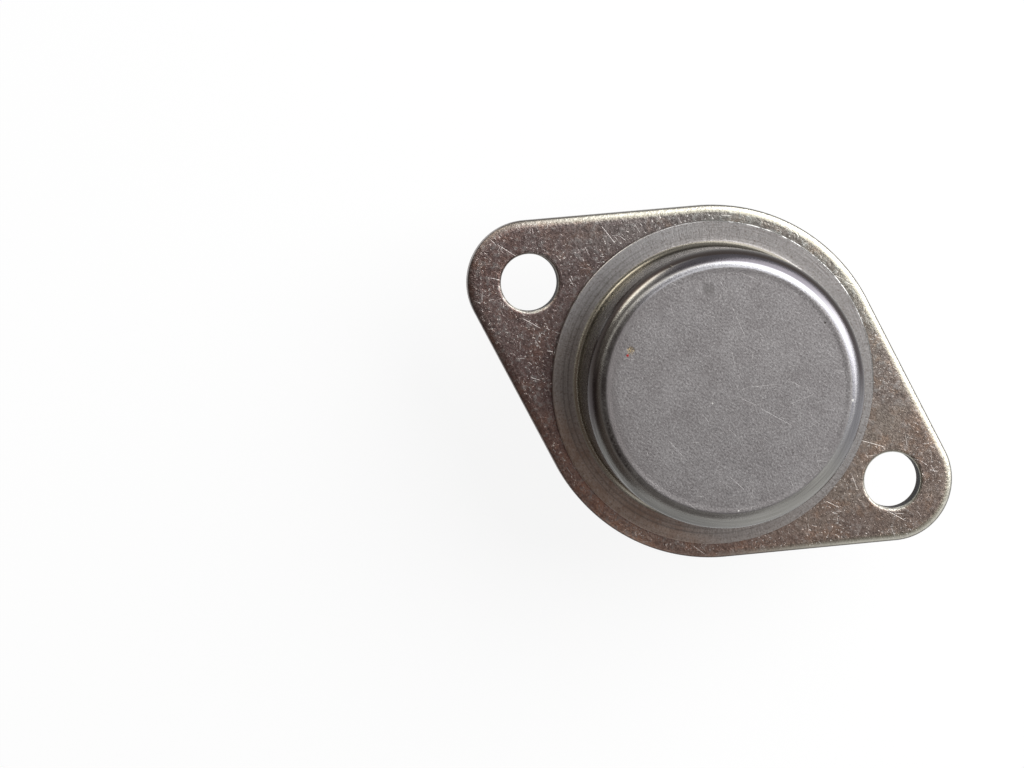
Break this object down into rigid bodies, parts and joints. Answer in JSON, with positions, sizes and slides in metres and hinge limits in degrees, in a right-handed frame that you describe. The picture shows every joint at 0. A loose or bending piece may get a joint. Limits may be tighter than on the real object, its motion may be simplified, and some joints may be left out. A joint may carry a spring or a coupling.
{
  "type": "power transistor",
  "caption": "Power transistor in a metal can: oval header plate with two screw holes, welded round cap and two glass-sealed leads below.",
  "frame": {"origin": "middle of the header plate's seating face, half way between the two screw holes", "axes": "+X from the middle to the screw hole on the leads' side, +Z out of the seating face through the cap, so the leads hang along -Z"},
  "size_m": [0.039, 0.0254, 0.0204],
  "materials": {
    "plate_steel": "nickel-plated sheet steel, semi-gloss, stippled and finely scratched",
    "cap_steel": "nickel-plated drawn steel, matt fine-grained top",
    "tinned_lead": "hot-tinned nickel-iron wire, satin",
    "seal_glass": "dark green fused sealing glass, glossy",
    "silver_braze": "silver braze, frozen bright",
    "copper": "stamped copper, slightly oxidised",
    "solder": "lead-tin solder, dull",
    "silicon": "polished silicon, mirror-like",
    "contact_metal": "solder-coated contact metal",
    "strap_nickel": "rolled nickel strip, satin",
    "silicone": "cured silicone varnish, milky and glossy"
  },
  "bodies": {
    "root": {"header_plate": "plate_steel", "cap": "cap_steel", "base_lead": "tinned_lead", "emitter_lead": "tinned_lead", "base_seal": "seal_glass", "emitter_seal": "seal_glass", "spreader_braze": "silver_braze", "heat_spreader": "copper", "die_solder": "solder", "silicon_die": "silicon", "base_contact": "contact_metal", "emitter_contact": "contact_metal", "base_strap": "strap_nickel", "emitter_strap": "strap_nickel", "junction_coating": "silicone"}
  },
  "joints": []
}
